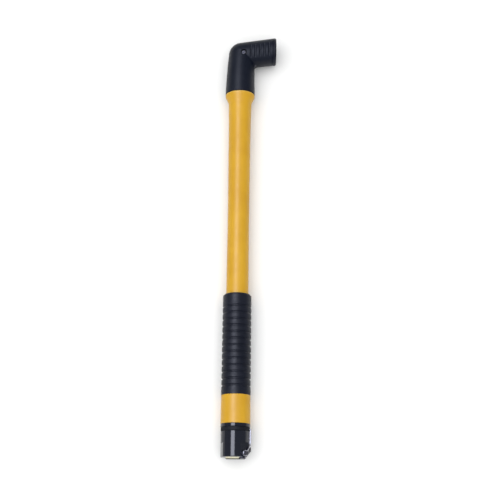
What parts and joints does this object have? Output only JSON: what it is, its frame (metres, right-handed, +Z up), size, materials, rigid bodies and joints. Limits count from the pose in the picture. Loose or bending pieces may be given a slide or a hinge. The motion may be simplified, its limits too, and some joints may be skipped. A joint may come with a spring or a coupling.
{
  "type": "hand tow bar",
  "caption": "Hand tow bar: yellow sleeved bar with a black elbow head and side socket, grooved rubber grip, screw-on end cap and a swinging wire hook.",
  "frame": {"origin": "under the middle of the object's box, on the surface that it lies on", "axes": "+Y along the bar from the cap to the head, +X the way the head's arm points, +Z up"},
  "size_m": [0.0604, 0.504, 0.0349],
  "materials": {
    "head_plastic": "satin moulded black plastic with a fine grain",
    "yellow_plastic": "smooth warm yellow moulded plastic with a soft sheen",
    "grip_rubber": "dense black rubber, slightly polished by the hand",
    "cap_plastic": "gloss black moulded plastic",
    "seal_rubber": "dull black rubber",
    "plate_plastic": "pale cream plastic",
    "steel": "turned and plated steel",
    "wire_steel": "bright drawn spring wire",
    "black_steel": "blackened steel",
    "aluminium": "plain turned and drawn aluminium"
  },
  "bodies": {
    "bar": {"head_shell": "head_plastic", "socket_bush": "steel", "mouth_ring": "grip_rubber", "head_screw": "black_steel", "head_nut": "black_steel", "detent_spring": "steel", "detent_plug": "black_steel", "head_spigot": "aluminium", "spigot_pins": "steel", "head_seal": "seal_rubber", "core_tube": "aluminium", "bar_sleeve": "yellow_plastic", "grip": "grip_rubber", "tail_band": "yellow_plastic", "tail_insert": "aluminium", "insert_pins": "steel", "tail_collar": "cap_plastic"},
    "detent": {"detent_ball": "steel"},
    "cap_travel": {"cap_seal": "seal_rubber"},
    "cap": {"end_cap": "cap_plastic", "end_plate": "plate_plastic", "thumb_screw": "black_steel", "hook_washer": "steel", "hook_screw": "black_steel"},
    "hook": {"hook": "wire_steel"}
  },
  "joints": [
    {"name": "detent_press", "type": "slide", "parent": "bar", "child": "detent", "axis": [0, 0, -1], "range_m": [0, 0.0007], "stiffness_N_per_m": 600, "springref_m": -0.001, "deforming": ["detent_spring"]},
    {"name": "cap_out", "type": "slide", "parent": "bar", "child": "cap_travel", "axis": [0, -1, 0], "range_m": [0, 0.012]},
    {"name": "cap_turn", "type": "hinge", "parent": "cap_travel", "child": "cap", "pos_m": [-0.01273, -0.23801, 0.01745], "axis": [0, -1, 0], "range_deg": [0, 1080]},
    {"name": "hook_swing", "type": "hinge", "parent": "cap", "child": "hook", "pos_m": [-0.00243, -0.24681, 0.02849], "axis": [-0.682, 0, -0.7314], "range_deg": [0, 170]}
  ],
  "couplings": [
    {"joint": "cap_out", "follows": "cap_turn", "m_per_rad": 0.00063662}
  ]
}
